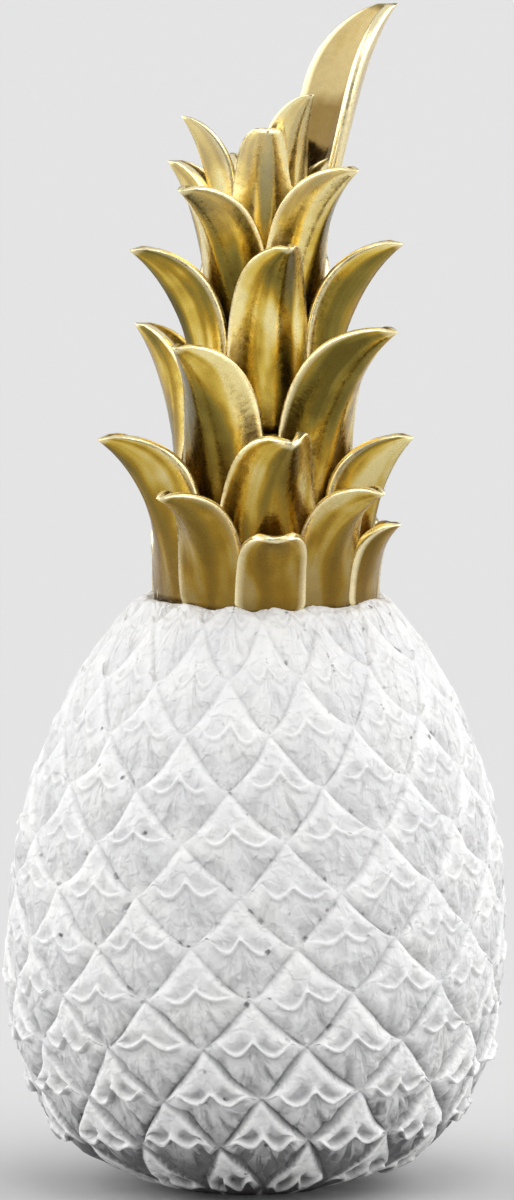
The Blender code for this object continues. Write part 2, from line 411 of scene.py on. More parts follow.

# Bubble pits anywhere, and specks along the grooves: dents in the bump, with painted shade in them
PIT_SCALE = 260.0
PIT_DETAIL = 2.0
PIT_RAGGED = 0.35
PIT_RANGE = (0.06, 0.16, 1.0, 0.0)
PIT_CHOICE = (0.86, 0.9, 0.0, 1.0)
SPOT_NOISE = (420.0, 1.0)
SPOT_RANGE = (0.67, 0.74, 0.0, 0.6)
SPOT_EDGE = (0.02, 0.09, 1.0, 0.0)

# Antique gold: bands across, along and from leaf to leaf, partly burnished and partly painted reflection and
# shade, and their tones from dark to bright
BAND_SPAN = 10.0
BAND_STRETCH = (1.5, 0.9, 3.7)
BAND_NOISE = (1.0, 2.5, 0.5)
BAND_SHARE = 0.7
PATCH_NOISE = (85.0, 2.0)
PATCH_SHARE = 0.3
BAND_AND_REFLECTION_TONES = (
    (0.33, (0.15, 0.11, 0.02)),
    (0.40, (0.28, 0.21, 0.04)),
    (0.45, (0.46, 0.28, 0.03)),
    (0.50, (0.78, 0.56, 0.10)),
    (0.56, (1.0, 0.86, 0.40)),
)

# A dark band of painted shade wanders along the middle of each leaf
WANDER_NOISE = (0.7, 1.0)
WANDER_RANGE = (0.3, 0.7, -0.45, 0.45)
MIDDLE_SHADE_RANGE = (0.05, 0.45, 0.12, 0.0)

# Gold is paler high up as a painted highlight, darker low down as painted shade, darker inside the leaves,
# with painted shade at their roots and deeper inside, and bright along the rims as wear and painted highlight
PALE_HIGHLIGHT_GOLD = (1.0, 0.88, 0.55)
PALE_HIGHLIGHT_RANGE = (0.182, 0.202, 0.0, 0.45)
LOW_SHADE_GOLD = (0.24, 0.13, 0.018)
LOW_SHADE_RANGE = (0.118, 0.15, 0.8, 0.0)
INNER_GOLD = (0.22, 0.155, 0.058)
INNER_SHARE = 0.85
PATINA_AND_SHADE = (0.14, 0.085, 0.02)
SPECKLE_NOISE = (420.0, 3.0)
SPECKLE_RANGE = (0.3, 0.45, 0.1, 0.0)
ROOT_SHADE_RANGE = (0.02, 0.22, 0.5, 0.0)
ROOT_RAGGED = 0.5
INNER_ROOT_SHADE_RANGE = (0.78, 0.88, 0.85, 0.0)
WORN_HIGHLIGHT_GOLD = (1.0, 0.87, 0.52)
WORN_HIGHLIGHT_RANGE = (0.3, 0.5, 0.8, 1.0)
METALLIC = 0.96
POLISH_NOISE = (700.0, 5.0)
POLISH_RANGE = (0.3, 0.7, 0.2, 0.34)
SPECKLE_BUMP = 0.7
PATCH_BUMP = 4.0
GOLD_BUMP_STRENGTH = 0.5
GOLD_BUMP = 0.16

# Light: a soft key from above, in a room that is bright overhead and at the sides and darker in the middle;
# the room's stops go from the left to the right and from below to above
KEY_FROM = (0.1, -0.5, 1.0)
KEY_STRENGTH = 0.4
KEY_SOFTNESS = 25.0
ROOM_STRENGTH = 1.0
SIDE_LIGHT = (
    (0.0, (1.9, 1.9, 1.9)),
    (0.2, (1.9, 1.9, 1.9)),
    (0.28, (0.18, 0.18, 0.18)),
    (0.72, (0.18, 0.18, 0.18)),
    (0.8, (2.0, 2.0, 2.0)),
    (1.0, (2.0, 2.0, 2.0)),
)
TOP_LIGHT = (
    (0.0, (0.0, 0.0, 0.0)),
    (0.3, (0.0, 0.0, 0.0)),
    (0.6, (0.55, 0.55, 0.55)),
    (1.0, (0.55, 0.55, 0.55)),
)

# Floor, in metres: a wide disc just under the foot
FLOOR_GREY = 0.55
FLOOR_ROUGHNESS = 0.9
FLOOR_RADIUS = 12.0
FLOOR_SIDES = 64
FLOOR_HEIGHT = -0.00002

# Camera: a long lens a little above the horizon, aimed at the middle of the photograph; its elevation is in
# degrees, its sensor in millimetres and the rest in metres
CAMERA_ELEVATION = 6.5
CAMERA_DISTANCE = 2.2
SENSOR = 36.0
VIEW_HEIGHT = 0.228
VIEW_END = 50.0
AIM = (0.00114, 0.0, 0.11195)

# Sockets of the mix node for two colours and for their mix, which share their names with others
MIX_FIRST = 6
MIX_SECOND = 7
MIX_RESULT = 2


def smooth_curve(points, value):
    """Read a smooth curve through the points at a value."""
    last = len(points) - 1
    step = 0
    while step < last - 1 and value > points[step + 1][0]:
        step += 1
    low, high = points[step], points[step + 1]
    before = points[max(step - 1, 0)]
    after = points[min(step + 2, last)]
    span = high[0] - low[0]
    slope_low = (high[1] - before[1]) / (high[0] - before[0]) * span
    slope_high = (after[1] - low[1]) / (after[0] - low[0]) * span
    part = (value - low[0]) / span
    return (
        low[1] * (2 * part**3 - 3 * part**2 + 1)
        + slope_low * (part**3 - 2 * part**2 + part)
        + high[1] * (3 * part**2 - 2 * part**3)
        + slope_high * (part**3 - part**2)
    )


def ease(value, start, end):
    """Go from 0 at the start to 1 at the end without a corner."""
    part = np.clip((value - start) / (end - start), 0.0, 1.0)
    return part * part * (3.0 - 2.0 * part)


def bell(value, centre, spread):
    """Rise to 1 at the centre and fall off on both sides."""
    return np.exp(-(((value - centre) / spread) ** 2))


def between(pair, part):
    """Go from the first value of a pair to the second."""
    return pair[0] + (pair[1] - pair[0]) * part


def lumps(spots, size, seed):
    """Read smooth noise from -1 to 1 at spots in millimetres, with lumps of a size."""
    offset = Vector([seed * apart for apart in SEED_APART])
    return np.array([noise.noise(Vector(spot) / size + offset) for spot in spots])


def place_round(radius, turn, height):
    """Place points round the vertical axis, at a turn from the front."""
    return np.stack([radius * np.sin(turn), -radius * np.cos(turn), height], axis=1)


def scale_pattern():
    """Mesh one diamond in rows: across and up from -1 to 1, and its triangles."""
    upper = np.concatenate([
        np.linspace(0.0, LIP_ZONE, LIP_ROWS, endpoint=False),
        np.linspace(LIP_ZONE, 1.0 - LIP_ZONE, MIDDLE_ROWS, endpoint=False),
        np.linspace(1.0 - LIP_ZONE, 1.0, LIP_ROWS + 1),
    ])
    levels = np.concatenate([upper[:-1] - 1.0, upper])
    spots, faces = [], []
    row_before = []
    for level in levels:
        reach = 1.0 - abs(level)
        segments = round(ROW_SEGMENTS * reach)
        if reach > TINY:
            segments = max(segments, 1)
        row = []
        for across in np.linspace(-reach, reach, segments + 1):
            row.append(len(spots))
            spots.append((across, level))
        low = high = 0
        while row_before and (low < len(row_before) - 1 or high < len(row) - 1):
            step_low = spots[row_before[low + 1]][0] if low < len(row_before) - 1 else math.inf
            step_high = spots[row[high + 1]][0] if high < len(row) - 1 else math.inf
            if step_low < step_high:
                faces.append((row_before[low], row_before[low + 1], row[high]))
                low += 1
            else:
                faces.append((row_before[low], row[high + 1], row[high]))
                high += 1
        row_before = row
    return np.array(spots), np.array(faces)


def lip_level(across, chance):
    """How far up its scale the lip runs: two lobes with a peak between them."""
    side = across - SIDE_CHANCE * chance.side
    lobe = LOBE_CENTRE + LOBE_CHANCE * chance.lobe
    bow = np.sin(np.pi * np.clip(np.abs(side) / (2.0 * lobe), 0.0, 1.0))
    level = LIP_PEAK + PEAK_CHANCE * chance.peak + LIP_TILT * chance.tilt * side
    level -= (LOBE_DROP + DROP_CHANCE * chance.drop) * bow
    return level * ease(1.0 - np.abs(across), 0.0, LIP_FADE)


def lay_scales():
    """Lay the pattern on every scale: lattice place, place in the scale and chances of each vertex."""
    spots, faces = scale_pattern()
    cells = []
    for column in range(LEFT_SPIRALS):
        start = FIRST_HEIGHT + column * UP_RISE
        first_row = math.floor((start - SCALE_HIGH) / DOWN_FALL) - 1
        last_row = math.ceil((start - SCALE_LOW) / DOWN_FALL) + 1
        cells += [(column, row) for row in range(first_row, last_row + 1)]
    cells = np.array(cells, dtype=float)
    chances = np.random.default_rng(CHANCE_SEED).uniform(-1.0, 1.0, (len(cells), len(Chance._fields)))
    cell = np.repeat(np.arange(len(cells)), len(spots))
    chance = Chance(*chances[cell].T)
    across = np.tile(spots[:, 0], len(cells))
    up = np.tile(spots[:, 1], len(cells))
    room = np.maximum(1.0 - np.abs(across), TINY)
    raised = up + lip_level(across, chance) * np.clip(1.0 - np.abs(up) / room, 0.0, 1.0)
    along_up = cells[cell, 0] + (across + raised) / 2.0
    along_down = cells[cell, 1] + (across - raised) / 2.0
    wraps = np.floor(along_up / LEFT_SPIRALS + WRAP_SLACK)
    along_up -= wraps * LEFT_SPIRALS
    along_down -= wraps * RIGHT_SPIRALS
    key_up = np.round(along_up * JOIN_GRAIN).astype(np.int64)
    key_down = np.round((along_down + JOIN_START) * JOIN_GRAIN).astype(np.int64)
    _, first, which = np.unique(key_up * JOIN_SPAN + key_down, return_index=True, return_inverse=True)
    triangles = (faces[None, :, :] + (np.arange(len(cells)) * len(spots))[:, None, None]).reshape(-1, 3)
    corners = np.stack([across, up, chance.folds], axis=1)[triangles]
    triangles = which[triangles]
    level = (FIRST_HEIGHT + along_up * UP_RISE - along_down * DOWN_FALL)[first]
    kept = (level[triangles].max(axis=1) > SCALE_LOW) & (level[triangles].min(axis=1) < SCALE_HIGH)
    turn = np.radians(FIRST_TURN + along_up * UP_TURN + along_down * DOWN_TURN)[first]
    chance = Chance(*chances[cell[first]].T)
    return turn, level, across[first], up[first], chance, triangles[kept], corners[kept]


def along_edge(across, up):
    """Place along the nearest groove, from 0 at the top or bottom corner to 1 at a side corner."""
    return np.abs(across) / np.maximum(np.abs(across) + np.abs(up), TINY)


def neck_calm(height):
    """How much is left of relief, wash and wear where they are held back at the neck."""
    return 1.0 - NECK_CALM * ease(height, *NECK_LEVELS)


def hollow_shape(side, up, width, chance):
    """The hollow over each lobe of the lip, 1 where it is deepest."""
    arch = np.minimum(1.0 - np.abs(side) - width, HOLLOW_FLANK * (np.abs(side) - HOLLOW_GAP))
    arch *= ARCH_HEIGHT + ARCH_CHANCE * np.where(side > 0.0, chance.right, chance.left)
    sunk = ease(arch - up, *HOLLOW_BRIM) * ease(up, *HOLLOW_FLOOR)
    return sunk * (1.0 - HOLLOW_FADE * ease(up, *HOLLOW_TOP))


def fold_shape(across, up, edge, chance):
    """The wave of the folds on the belly, and where they show."""
    angle = np.arctan2(across, FAN_CENTRE - up)
    fold = np.sin(angle * (FOLDS + FOLDS_CHANCE * chance.tilt) + FOLD_PHASE * chance.folds + FOLD_SWEEP * up)
    fold *= 1.0 + SLOW_SHARE * np.sin(angle * SLOW_FOLDS + SLOW_PHASE * chance.peak + SLOW_SWEEP * up)
    beside = np.abs(across) - FOLD_SLANT * up
    return fold, ease(-up, *FOLD_BELOW) * ease(beside, *FOLD_SIDES) * ease(edge, 0.0, FOLD_EDGE)


def scale_relief(across, up, height, chance, uneven):
    """Height of the carving over the lips' surface, the painted shade of its recesses and the painted
    highlight of its lips and ridges.
    """
    soft = ease(height, *SOFTENING)
    edge = 1.0 - np.abs(across) - np.abs(up)
    side = across - SIDE_CHANCE * chance.side
    place = along_edge(across, up)
    crossing = bell(place, 0.0, CROSSING_SPREAD) + bell(place, 1.0, CROSSING_SPREAD)
    below = ease(-up / (STEP_NEAR + STEP_WIDER * ease(np.abs(side), *STEP_SIDES)), 0.0, 1.0)
    reach = 1.0 - ease(np.abs(side), between(LIP_HALF[0], soft), between(LIP_HALF[1], soft))
    width = between(RIDGE_WIDTH, soft) * (1.0 + WIDTH_CHANCE * chance.drop)
    hollow = hollow_shape(side, up, width, chance)
    fold, folded = fold_shape(across, up, edge, chance)

    groove = between(GROOVE_DEPTH, ease(height, *GROOVE_LEVELS))
    groove = groove * (1.0 - (1.0 - CROSSING_DEPTH) * crossing) * (1.0 + UNEVEN * uneven)
    ridge = RIDGE_SHARES[0] * ease(edge, 0.0, RIDGE_EDGE) + RIDGE_SHARES[1] * ease(edge, 0.0, width)
    dome = 1.0 - (1.0 - np.clip(edge / between(BELLY_EDGE, soft), 0.0, 1.0)) ** BELLY_POWER
    relief = -groove * (1.0 - np.where(up > 0.0, ridge, ridge + (dome - ridge) * below))
    relief -= between(BRACT_SLOPE, soft) * np.clip(up, 0.0, 1.0)
    relief += between(LIP_RIM, soft) * bell(up, 0.0, LIP_SPREAD) * reach * (1.0 + RIM_CHANCE * chance.peak)
    relief -= between(HOLLOW_DEPTH, soft) * hollow
    relief -= between(LIP_STEP, soft) * below * reach * ease(edge, 0.0, STEP_EDGE)
    relief += between(BELLY_RISE, soft) * bell(up, *BELLY_UP) * bell(across, 0.0, BELLY_ACROSS)
    relief += SCALE_LIFT * chance.lobe * ease(edge, 0.0, LIFT_EDGE)
    relief += between(WRINKLE_DEPTH, soft) * fold * folded

    # Painted shade: grey painted into the grooves, under the lips, in the hollows, folds and bellies, and
    # darker near the foot
    foot = 1.0 - ease(height, *FOOT_LEVELS)
    dirt = 1.0 - ease(edge, 0.0, GROOVE_SHADE + FOOT_WIDER * foot)
    dirt = dirt * (1.0 - CROSSING_LESS_SHADE * crossing * (1.0 - foot))
    dirt = np.maximum(dirt, reach * bell(up, *LIP_SHADE))
    dirt = np.maximum(dirt, HOLLOW_SHADE * hollow * (1.0 + CORNER_SHADE * bell(up, *CORNER_UP)))
    belly_shade = (BELLY_SHADE - BELLY_SHADE_FADE * ease(edge, *BELLY_SHADE_EDGE)) * (1.0 - BELLY_SHADE_CALM * soft)
    dirt = np.maximum(dirt, (belly_shade + FOOT_BELLY_SHADE * foot) * below)
    dirt = np.maximum(dirt, FOLD_SHADE * folded * ease(-fold, *FOLD_BOTTOM))
    dirt = dirt * (1.0 - SHADE_CALM * soft) + FOOT_SHADE * dirt * foot
    shade_film = FILM_SHADE * np.maximum(below, HOLLOW_SHADE_FILM * hollow)
    dirt = np.maximum(dirt, shade_film * neck_calm(height))

    # Painted highlight: the lips and the crests of the ridges are painted whiter
    crest = bell(edge, RIDGE_CREST * width, CREST_SPREAD) * (up > 0.0)
    wear = bell(up, 0.0, LIP_SPREAD) * reach + RIDGE_HIGHLIGHT * crest
    wear *= (1.0 - HIGHLIGHT_CALM * soft) * neck_calm(height)
    return relief - LIP_SET_BACK, dirt, wear


def neck_bumps(azimuth, level):
    """Let the white rise a little between the lowest leaves."""
    gap = np.ones(len(azimuth))
    for root_z, root_r, breadth, _, tips in LEAF_RINGS:
        if root_z >= NECK_ROOTS:
            continue
        for middle, _, _, tip_z in tips:
            width = math.degrees(breadth / root_r) * (1.0 - root_narrowing(tip_z - root_z))
            apart = (azimuth - middle + 180.0) % 360.0 - 180.0
            gap = np.minimum(gap, ease(np.abs(apart) / width, *NECK_GAP))
    rise = NECK_BUMP * gap * bell(level, NECK_BUMP_LEVEL, NECK_BUMP_SPREAD)
    turn = np.radians(azimuth)
    wave = 1.0 + COLLAR_WAVE * np.sin(COLLAR_WAVES * turn + COLLAR_DRIFT * np.sin(COLLAR_DRIFTS * turn))
    return rise + COLLAR_RISE * wave * (1.0 - gap) * bell(level, COLLAR_LEVEL, COLLAR_SPREAD)


def fruit_mesh():
    """Build the fruit's mesh with its carving."""
    turn, level, across, up, chance, faces, corners = lay_scales()
    heights = np.arange(*PROFILE_SPAN, PROFILE_STEP)
    radii = np.array([smooth_curve(BODY_PROFILE, height) for height in heights])
    radius = np.interp(level, heights, radii)
    spots = place_round(radius, turn, level)
    free = ease(level, *WARP_FOOT) * (1.0 - ease(level, *WARP_NECK))
    turn = turn + WARP * free * lumps(spots, WARP_SIZE, TURN_SEED) / radius
    level = level + WARP * free * lumps(spots, WARP_SIZE, LEVEL_SEED)
    radius = np.interp(level, heights, radii)
    slope = np.interp(level, heights, np.gradient(radii, PROFILE_STEP))
    length = np.hypot(1.0, slope)
    relief, dirt, wear = scale_relief(across, up, level, chance, lumps(spots, UNEVEN_SIZE, UNEVEN_SEED))
    place = along_edge(across, up)
    place = np.where(up > 0.0, 1.0 - place, place) ** SAG_SKEW
    sag = np.sin(np.pi * place) * bell(1.0 - np.abs(across) - np.abs(up), 0.0, SAG_SPREAD)
    level = level - SCALE_SAG * sag * ease(level, *SAG_FOOT)
    spots = place_round(radius, turn, level)
    rough = LUMP_DEPTH * lumps(spots, LUMP_SIZE, LUMP_SEED)
    rough += GRAIN_DEPTH * lumps(spots, GRAIN_SIZE, GRAIN_SEED)
    relief += rough * (1.0 - LIP_CALM * bell(up, 0.0, LIP_CALM_SPREAD))
    relief *= (1.0 - FOOT_CALM) * ease(level, 0.0, FOOT_FADE) + FOOT_CALM * ease(level, 0.0, FOOT_RISE)
    relief *= neck_calm(level)
    radius = radius + relief / length
    height = level - relief * slope / length
    seat = SEAT_HEIGHT + SEAT_SLOPE * (level - SEAT_HEIGHT)
    height = np.where(level > SEAT_HEIGHT, seat, np.minimum(height, SEAT_HEIGHT))
    height += neck_bumps(np.degrees(turn), level)
    height = np.where(level < 0.0, 0.0, np.maximum(height, 0.0))
    points = place_round(radius, turn, height)
    points[:, 0] += BODY_LEAN * height
    return points * MM, faces, dirt, wear, corners


def make_piece(name, points, faces, node):
    """Make a smooth-shaded piece that stands for a node of the frame."""
    data = bpy.data.meshes.new(name)
    data.from_pydata([tuple(point) for point in points], [], [tuple(face) for face in faces])
    data.update()
    piece = bpy.data.objects.new(name, data)
    bpy.context.scene.collection.objects.link(piece)
    data.shade_smooth()
    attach(piece, "root")
    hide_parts(node)
    return piece


def add_values(piece, name, values):
    """Keep one value for each vertex, for the materials to read."""
    layer = piece.data.attributes.new(name, "FLOAT", "POINT")
    layer.data.foreach_set("value", np.asarray(values, dtype=np.float32))


def add_places(piece, domain, places):
    """Keep a place for each vertex or face corner, for the materials to read."""
    layer = piece.data.attributes.new("place", "FLOAT_VECTOR", domain)
    layer.data.foreach_set("vector", places.astype(np.float32).ravel())


def close_mesh(piece):
    """Close the open ends of a mesh, if it has any, and turn its faces outwards."""
    mesh = bmesh.new()
    mesh.from_mesh(piece.data)
    open_edges = [edge for edge in mesh.edges if edge.is_boundary]
    bmesh.ops.holes_fill(mesh, edges=open_edges)
    bmesh.ops.recalc_face_normals(mesh, faces=mesh.faces)
    mesh.to_mesh(piece.data)
    mesh.free()


def make_fruit():
    """Make the scaly body."""
    points, faces, dirt, wear, corners = fruit_mesh()
    fruit = make_piece("fruit", points, faces, "fruit_body")
    add_values(fruit, "dirt", dirt)
    add_values(fruit, "wear", wear)
    add_places(fruit, "CORNER", corners)
    close_mesh(fruit)
    fruit.data.materials.append(white_material())


def root_narrowing(length):
    """How much narrower a leaf is at its root: short leaves hardly narrow."""
    return ROOT_NARROWING * ease(length, FLAT_LENGTH, SLIM_LENGTH)


def leaf_list():
    """List every leaf of the crown."""
    leaves = []
    for root_z, root_r, breadth, point, tips in LEAF_RINGS:
        for azimuth, swing, tip_r, tip_z in tips:
            form = ease(tip_z - root_z, FLAT_LENGTH, FULL_LENGTH)
            sizes = (azimuth, swing, root_z, root_r, breadth, point, tip_r, tip_z)
            curve = (FLARE_POWER, TIP_WRAP * (0.5 + 0.5 * form), TIP_FOLD * form)
            leaves.append(Leaf(*sizes, *curve, root_narrowing(tip_z - root_z)))
    leaves.append(TALL_LEAF)
    return leaves


def leaf_breadth(leaf, part):
    """Half breadth of a leaf at a part of its length."""
    if part < WIDEST_AT:
        heel = max(1.0 - part / HEEL_PART, 0.0) ** 2
        narrow = leaf.narrowing * ((WIDEST_AT - part) / WIDEST_AT) ** NARROWING_POWER
        return leaf.breadth * (1.0 - narrow) * (1.0 - HEEL_ROUNDING * heel)
    beyond = (part - WIDEST_AT) / (1.0 - WIDEST_AT)
    return leaf.breadth * max(1.0 - beyond**TIP_ROUNDING, 0.0) ** leaf.point


def leaf_ring(leaf, part):
    """Place one ring of points round a leaf: its outer face from edge to edge, and back inside."""
    flare = (1.0 - CURL_SHARE) * part**leaf.power + CURL_SHARE * part**CURL_POWER
    steep = (1.0 - CURL_SHARE) * leaf.power * part ** (leaf.power - 1.0)
    steep += CURL_SHARE * CURL_POWER * part ** (CURL_POWER - 1.0)
    radius = leaf.root_r + (leaf.tip_r - leaf.root_r) * flare
    rise = leaf.tip_z - leaf.root_z
    lean = (leaf.tip_r - leaf.root_r) * steep
    length = math.hypot(lean, rise)
    out_r = rise / length
    out_z = -lean / length
    half = leaf_breadth(leaf, part)
    grown = float(ease(part, *GROWTH))
    wrap = min(half / radius, ROOT_WRAP)
    wrap += (leaf.wrap - wrap) * grown
    twist = math.radians(TWIST_PER_SWING * leaf.swing) * part
    thickness = ROOT_THICKNESS + (TIP_THICKNESS - ROOT_THICKNESS) * part
    thickness = min(thickness, TIP_TAPER * half)
    spread = np.sin(np.linspace(-0.5, 0.5, LEAF_ACROSS) * np.pi)
    across = np.concatenate([spread, spread[-2:0:-1]])
    outer = np.arange(len(across)) < LEAF_ACROSS
    round_part = min(0.5 * thickness / half, 1.0)
    round_off = np.sqrt(1.0 - np.clip((np.abs(across) - 1.0 + round_part) / round_part, 0.0, 1.0) ** 2)
    depth = 0.5 * thickness * (1.0 - np.where(outer, round_off, -round_off))
    depth -= np.where(outer, BEAD_HEIGHT * bell(np.abs(across), BEAD_AT, BEAD_SPREAD), 0.0)
    start = twist + leaf.fold * grown * np.tanh(across / FOLD_SOFTNESS)
    end = start + wrap * across
    sideways = half / wrap * (np.sin(end) - np.sin(start)) - depth * np.sin(end)
    inward = half / wrap * (np.cos(start) - np.cos(end)) + depth * np.cos(end)
    angle = math.radians(leaf.azimuth + leaf.swing * part**2)
    reach = radius - inward * out_r
    points = np.stack([
        CROWN_AXIS_X + reach * math.sin(angle) + sideways * math.cos(angle),
        -reach * math.cos(angle) + sideways * math.sin(angle),
        leaf.root_z + rise * part - inward * out_z,
    ], axis=1)
    return points, across, outer


def tube_faces(start, size, rings):
    """Join rings of vertices, all of a size, into a tube with closed ends."""
    faces = []
    last = start + (rings - 1) * size
    for low in range(start, last, size):
        for corner in range(low, low + size):
            following = low + (corner + 1 - low) % size
            faces.append((corner, following, following + size, corner + size))
    faces.append(tuple(range(start, start + size))[::-1])
    faces.append(tuple(range(last, last + size)))
    return faces


def crown_mesh():
    """Build every leaf and the stem as one mesh, with values for the gold to read."""
    points, faces, rims, insides, places = [], [], [], [], []
    count = 0
    for number, leaf in enumerate(leaf_list()):
        for station in range(LEAF_STATIONS):
            part = TIP_STATION * (station / (LEAF_STATIONS - 1)) ** STATION_POWER
            ring, across, outer = leaf_ring(leaf, part)
            points.append(ring)
            insides.append(np.where(outer, 0.0, 1.0))
            rim = ease((np.abs(across) - 1.0) * leaf.breadth, *RIM_WIDTH)
            rims.append(np.maximum(rim, ease(part, *TIP_ZONE)))
            wide = across * leaf.breadth / BAND_SPAN
            places.append(np.stack([wide, np.full(len(ring), part), np.full(len(ring), number)], axis=1))
        faces += tube_faces(count, len(ring), LEAF_STATIONS)
        count += LEAF_STATIONS * len(ring)
    turns = np.linspace(0.0, 2.0 * math.pi, STEM_SIDES, endpoint=False)
    for level in np.linspace(STEM_PROFILE[0][0], STEM_PROFILE[-1][0], STEM_STATIONS):
        ring = place_round(smooth_curve(STEM_PROFILE, level), turns, np.full(STEM_SIDES, level))
        ring[:, 0] += CROWN_AXIS_X
        points.append(ring)
        rims.append(np.zeros(STEM_SIDES))
        insides.append(np.zeros(STEM_SIDES))
        places.append(np.zeros((STEM_SIDES, 3)))
    faces += tube_faces(count, STEM_SIDES, STEM_STATIONS)
    values = [np.concatenate(part) for part in (rims, insides, places)]
    return np.concatenate(points) * MM, faces, *values


def make_crown():
    """Make the gold crown."""
    points, faces, rims, insides, places = crown_mesh()
    crown = make_piece("crown", points, faces, "leaf_crown")
    add_values(crown, "rim", rims)
    add_values(crown, "inside", insides)
    add_places(crown, "POINT", places)
    close_mesh(crown)
    crown.data.materials.append(gold_material())


class NodeTree:
    """A tree of shader nodes, with one short call for each kind of node."""

    def __init__(self, tree):
        self.nodes = tree.nodes
        self.links = tree.links

    def feed(self, socket, value):
        """Link a value to a socket, or set a plain number, vector or colour on it."""
        if isinstance(value, bpy.types.NodeSocket):
            self.links.new(value, socket)
        elif isinstance(value, tuple) and len(value) < len(socket.default_value):
            socket.default_value = (*value, 1.0)
        else:
            socket.default_value = value

    def add(self, kind, inputs, output, **settings):
        """Add a node with settings and inputs, and return one of its outputs."""
        node = self.nodes.new(kind)
        for name, value in settings.items():
            setattr(node, name, value)
        for name, value in inputs.items():
            self.feed(node.inputs[name], value)
        return node.outputs[output]

    def place(self, kind="Object"):
        """Coordinates of a kind."""
        return self.add("ShaderNodeTexCoord", {}, kind)

    def attribute(self, name, output="Fac"):
        """Read a value kept on the mesh."""
        return self.add("ShaderNodeAttribute", {}, output, attribute_name=name)

    def noise(self, place, scale, detail, twist=0.0, output="Fac"):
        """Noise at a place, with its lumps twisted out of round if need be."""
        inputs = {"Vector": place, "Scale": scale, "Detail": detail, "Distortion": twist}
        return self.add("ShaderNodeTexNoise", inputs, output)

    def split(self, vector):
        """The three parts of a vector."""
        return self.add("ShaderNodeSeparateXYZ", {"Vector": vector}, "X").node.outputs

    def spread(self, value, low, high, out_low, out_high):
        """Map a value from one range to another, clamped."""
        inputs = {"Value": value, "From Min": low, "From Max": high, "To Min": out_low, "To Max": out_high}
        return self.add("ShaderNodeMapRange", inputs, "Result")

    def calculate(self, operation, first, second=0.0):
        """Calculate with one or two values."""
        return self.add("ShaderNodeMath", {0: first, 1: second}, 0, operation=operation)

    def plus(self, first, second):
        """Add two values."""
        return self.calculate("ADD", first, second)

    def minus(self, first, second):
        """Take the second value from the first."""
        return self.calculate("SUBTRACT", first, second)

    def times(self, first, second):
        """Multiply two values."""
        return self.calculate("MULTIPLY", first, second)

    def vectors(self, operation, first, inputs):
        """Calculate with a vector and further inputs."""
        return self.add("ShaderNodeVectorMath", {0: first, **inputs}, "Vector", operation=operation)

    def ramp(self, value, stops):
        """Turn a value into a colour through stops of place and colour."""
        colour = self.add("ShaderNodeValToRGB", {"Fac": value}, "Color")
        elements = colour.node.color_ramp.elements
        while len(elements) < len(stops):
            elements.new(0.5)
        for element, (place, tone) in zip(elements, stops):
            element.position = place
            element.color = (*tone, 1.0)
        return colour

    def mix(self, amount, first, second, blend="MIX"):
        """Mix two colours."""
        inputs = {"Factor": amount, MIX_FIRST: first, MIX_SECOND: second}
        return self.add("ShaderNodeMix", inputs, MIX_RESULT, data_type="RGBA", blend_type=blend)

    def bump(self, value, strength, distance):
        """Make a bump normal from a height."""
        inputs = {"Strength": strength, "Distance": distance, "Height": value}
        return self.add("ShaderNodeBump", inputs, "Normal")


def new_material(name):
    """Start a material and return it with its nodes and its shader's inputs."""
    material = bpy.data.materials.new(name)
    material.use_nodes = True
    tree = NodeTree(material.node_tree)
    return material, tree, tree.nodes["Principled BSDF"].inputs


def streak_place(tree):
    """Coordinates round and out from the lip of each scale, how far below it, and how far from the groove."""
    across, up, chance = tree.split(tree.attribute("place", "Vector"))
    down = tree.minus(FAN_CENTRE, up)
    angle = tree.calculate("ARCTAN2", across, down)
    out = tree.calculate("SQRT", tree.plus(tree.times(across, across), tree.times(down, down)))
    streaks = {
        "X": tree.times(angle, STREAK_ROUND),
        "Y": tree.times(out, STREAK_OUT),
        "Z": tree.times(chance, STREAK_APART),
    }
    place = tree.add("ShaderNodeCombineXYZ", streaks, "Vector")
    edge = tree.minus(1.0, tree.plus(tree.calculate("ABSOLUTE", across), tree.calculate("ABSOLUTE", up)))
    return place, tree.spread(up, *BELLY_RANGE), edge


def bubble_pits(tree, place):
    """Scatter a few small ragged bubble pits: 1 in a pit and 0 elsewhere."""
    ragged = tree.noise(place, 2.0 * PIT_SCALE, PIT_DETAIL, output="Color")
    shift = tree.vectors("SCALE", ragged, {"Scale": PIT_RAGGED / PIT_SCALE})
    moved = tree.vectors("ADD", place, {1: shift})
    distance = tree.add("ShaderNodeTexVoronoi", {"Vector": moved, "Scale": PIT_SCALE}, "Distance")
    colour = distance.node.outputs["Color"]
    chosen = tree.add("ShaderNodeSeparateColor", {"Color": colour}, "Red")
    return tree.times(tree.spread(distance, *PIT_RANGE), tree.spread(chosen, *PIT_CHOICE))


